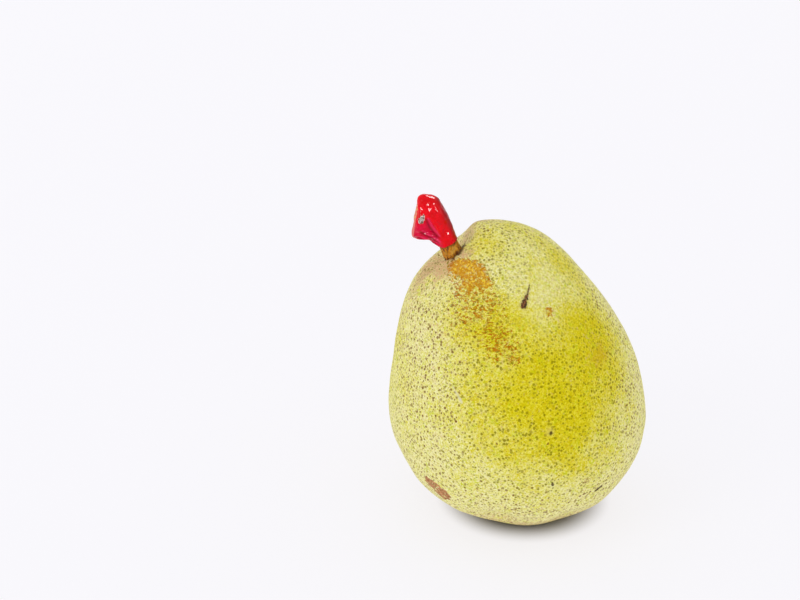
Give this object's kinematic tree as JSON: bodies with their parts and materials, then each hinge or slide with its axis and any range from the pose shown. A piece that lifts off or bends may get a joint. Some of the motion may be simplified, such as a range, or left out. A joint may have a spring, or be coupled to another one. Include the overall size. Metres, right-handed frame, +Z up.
{
  "type": "pear",
  "caption": "Large yellow-green winter pear with russet freckles, a thick slanting stalk sealed in red wax, a shallow stalk hollow and a dried calyx in the basin it stands around.",
  "frame": {"origin": "centre of the bounding box's bottom face, on the surface the fruit stands on", "axes": "+Z up from the basin towards the stalk end, -X towards the side the stalk leans to, -Y the side with the brown scar and the scab, +X the high shoulder"},
  "size_m": [0.0832, 0.0842, 0.1115],
  "materials": {
    "skin": "satin waxy fruit skin, yellow-green with brown freckles and russet round the stalk",
    "bark": "rough brown bark of the fruit stalk",
    "sealing_wax": "glossy bright red sealing wax",
    "dry_sepal": "dry, dull dark brown"
  },
  "bodies": {
    "root": {"fruit": "skin", "stem": "bark", "wax_cap": "sealing_wax", "calyx": "dry_sepal"}
  },
  "joints": []
}
